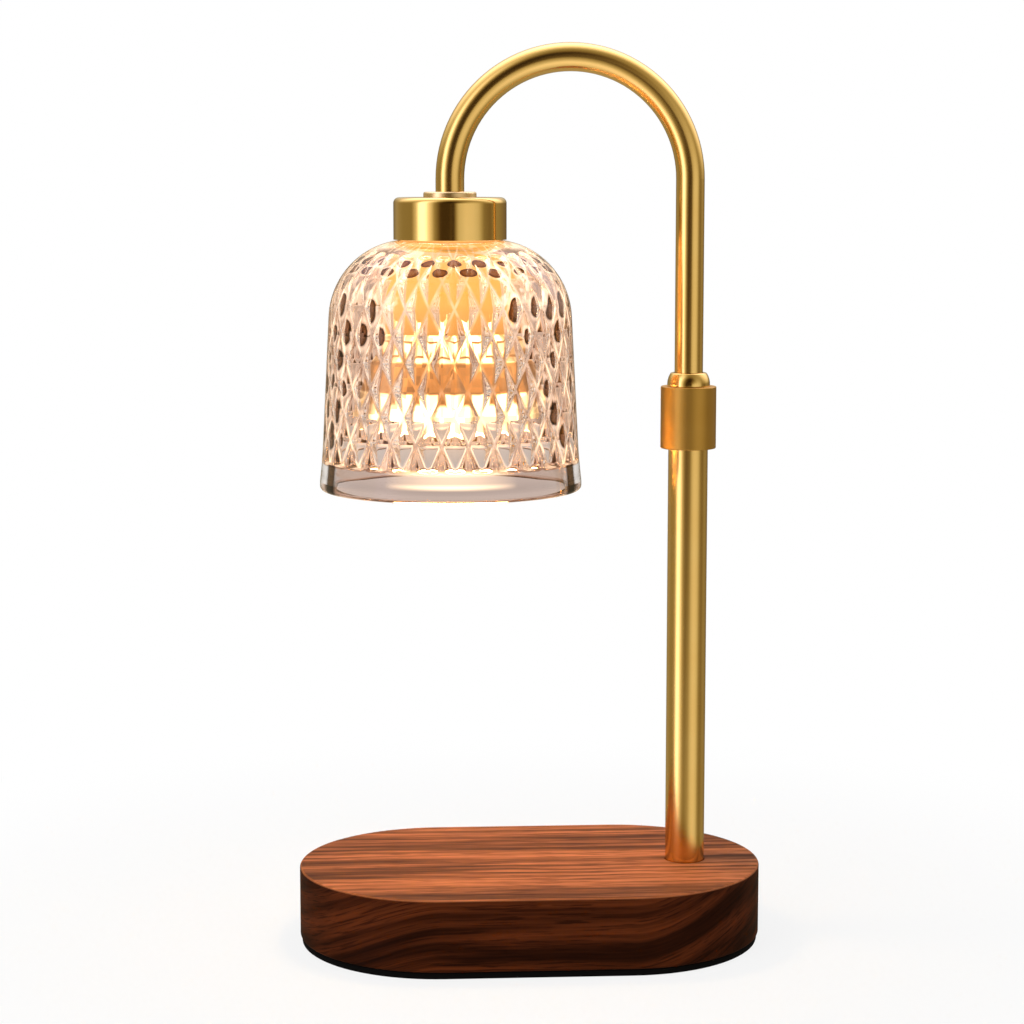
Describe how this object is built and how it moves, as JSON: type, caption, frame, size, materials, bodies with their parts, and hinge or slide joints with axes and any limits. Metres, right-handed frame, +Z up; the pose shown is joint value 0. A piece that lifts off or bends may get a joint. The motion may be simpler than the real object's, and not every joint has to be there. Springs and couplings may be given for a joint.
{
  "type": "candle warmer lamp",
  "caption": "Table lamp that melts a jar candle from above: walnut base, height-adjustable brass arch, diamond-pressed glass shade and a twist-lock bulb.",
  "frame": {"origin": "middle of the underside of the pad, on the surface that the lamp stands on", "axes": "+X from the candle's place towards the post, -Y towards the user, +Z up"},
  "size_m": [0.165, 0.1, 0.3183],
  "materials": {
    "walnut": "oiled, open grain along X",
    "plate_steel": "black paint",
    "zinc_screw": "zinc plated",
    "foam_pad": "matte foam",
    "black_rubber": "moulded, matte",
    "white_nylon": "moulded, matte",
    "turned_brass": "machined",
    "brushed_brass": "fine brushed, lacquered",
    "polished_brass": "polished",
    "satin_brass": "bead-blasted satin",
    "wire_sleeve": "glass-fibre sleeve",
    "white_ceramic": "unglazed",
    "bronze_spring": "rolled strip",
    "clear_silicone": "translucent",
    "shade_glass": "clear, fire-polished outside, diamond-pressed inside",
    "bulb_glass": "clear",
    "bulb_mirror": "dichroic coat inside glass",
    "tungsten": "drawn wire",
    "pin_nickel": "nickel plated"
  },
  "bodies": {
    "base": {"base_block": "walnut", "base_plate": "plate_steel", "plate_screws": "zinc_screw", "base_pad": "foam_pad", "cord_grommet": "black_rubber", "terminal_block": "white_nylon", "terminal_screws": "zinc_screw", "block_screw": "zinc_screw", "post_foot": "turned_brass", "post_washer": "zinc_screw", "post_nut": "turned_brass", "post_tube": "brushed_brass", "post_head": "turned_brass", "post_wires": "wire_sleeve"},
    "collet": {"grip_collet": "white_nylon"},
    "gland": {"gland_ring": "polished_brass"},
    "collar": {"lock_collar": "satin_brass"},
    "neck": {"neck_tube": "brushed_brass", "neck_bush": "white_nylon", "neck_wires": "wire_sleeve", "seat_ring": "polished_brass", "head_cap": "brushed_brass", "cap_washer": "zinc_screw", "cap_nut": "turned_brass", "holder_top": "white_ceramic", "holder_body": "white_ceramic", "holder_screws": "zinc_screw", "holder_contacts": "bronze_spring", "upper_gasket": "clear_silicone", "lower_gasket": "clear_silicone", "shade_ring": "white_nylon", "glass_shade": "shade_glass"},
    "bulb": {"bulb_base": "white_ceramic", "bulb_reflector": "bulb_mirror", "bulb_lens": "bulb_glass", "bulb_capsule": "bulb_glass", "bulb_filament": "tungsten", "bulb_pins": "pin_nickel"}
  },
  "joints": [
    {"name": "collar_lift", "type": "slide", "parent": "base", "child": "gland", "axis": [0, 0, 1], "range_m": [0, 0.0005]},
    {"name": "collar_twist", "type": "hinge", "parent": "gland", "child": "collar", "pos_m": [0.056, 0, 0.188], "axis": [0, 0, 1], "range_deg": [0, 180]},
    {"name": "neck_swing", "type": "hinge", "parent": "base", "child": "collet", "pos_m": [0.056, 0, 0.19], "axis": [0, 0, 1], "range_deg": [-90, 90]},
    {"name": "height_slide", "type": "slide", "parent": "collet", "child": "neck", "axis": [0, 0, 1], "range_m": [-0.06, 0.035], "deforming": ["post_wires"]},
    {"name": "bulb_twist", "type": "hinge", "parent": "neck", "child": "bulb", "pos_m": [-0.028, 0, 0.234], "axis": [0, 0, 1], "range_deg": [0, 30]}
  ],
  "couplings": [
    {"joint": "collar_twist", "follows": "collar_lift", "rad_per_m": 6283.2}
  ]
}
